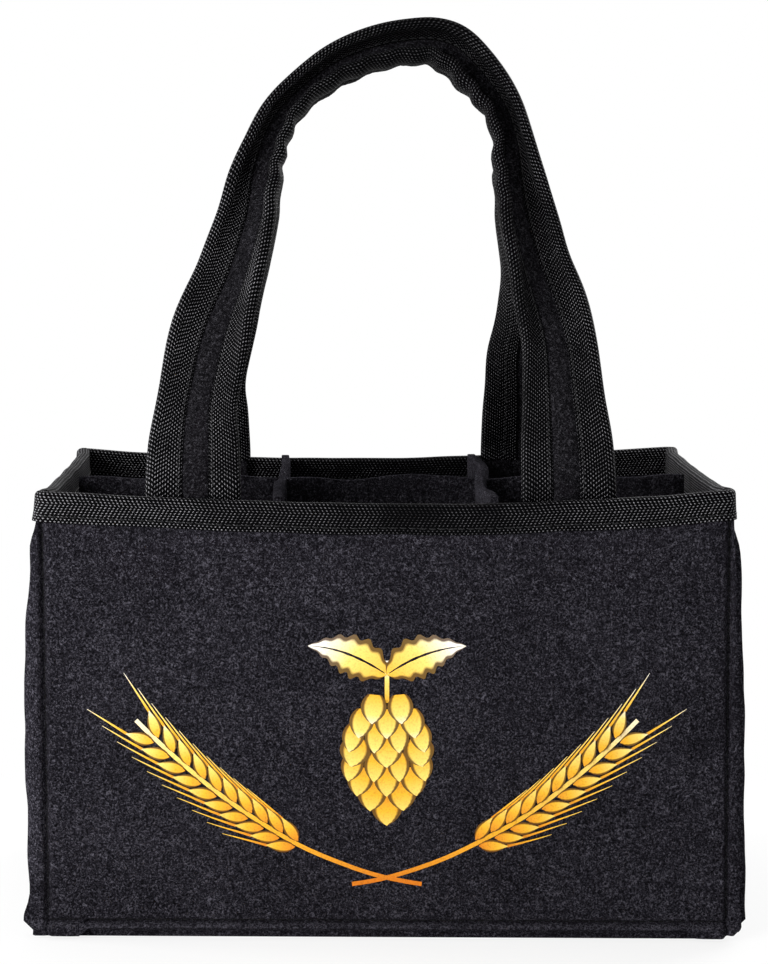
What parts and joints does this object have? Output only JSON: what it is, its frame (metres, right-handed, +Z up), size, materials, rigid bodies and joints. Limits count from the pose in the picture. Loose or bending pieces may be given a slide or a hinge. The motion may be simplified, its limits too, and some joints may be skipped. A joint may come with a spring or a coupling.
{
  "type": "six pack carrier",
  "caption": "Boxy felt carry bag with upright bottle compartments, taped rim and two looped felt handles that lean together over the middle.",
  "frame": {"origin": "on the floor, below the middle of the bag", "axes": "+Z up, +X along the front panel, the front panel faces -Y"},
  "size_m": [0.2478, 0.1624, 0.3194],
  "materials": {
    "panel_felt": "charcoal needled felt",
    "divider_felt": "charcoal needled felt",
    "strap_felt": "charcoal needled felt",
    "woven_tape": "black twill binding tape",
    "seam_thread": "black sewing thread"
  },
  "bodies": {
    "bag": {"front_panel": "panel_felt", "back_panel": "panel_felt", "left_side_panel": "panel_felt", "right_side_panel": "panel_felt", "bottom_panel": "panel_felt", "long_divider": "divider_felt", "left_cross_divider": "divider_felt", "right_cross_divider": "divider_felt", "rim_binding_front": "woven_tape", "rim_binding_back": "woven_tape", "rim_binding_left": "woven_tape", "rim_binding_right": "woven_tape", "rim_seam_thread": "seam_thread", "bottom_seam_thread": "seam_thread", "corner_seam_thread": "seam_thread", "divider_seam_thread": "seam_thread", "front_handle_tails": "strap_felt", "rear_handle_tails": "strap_felt"},
    "front_handle": {"front_handle_strap": "strap_felt", "front_handle_outer_binding": "woven_tape", "front_handle_inner_binding": "woven_tape"},
    "rear_handle": {"rear_handle_strap": "strap_felt", "rear_handle_outer_binding": "woven_tape", "rear_handle_inner_binding": "woven_tape"}
  },
  "joints": [
    {"name": "front_handle_swing", "type": "hinge", "parent": "bag", "child": "front_handle", "pos_m": [0, -0.0785, 0.1574], "axis": [1, 0, 0], "range_deg": [0, 164]},
    {"name": "rear_handle_swing", "type": "hinge", "parent": "bag", "child": "rear_handle", "pos_m": [0, 0.0785, 0.1574], "axis": [-1, 0, 0], "range_deg": [0, 164]}
  ]
}
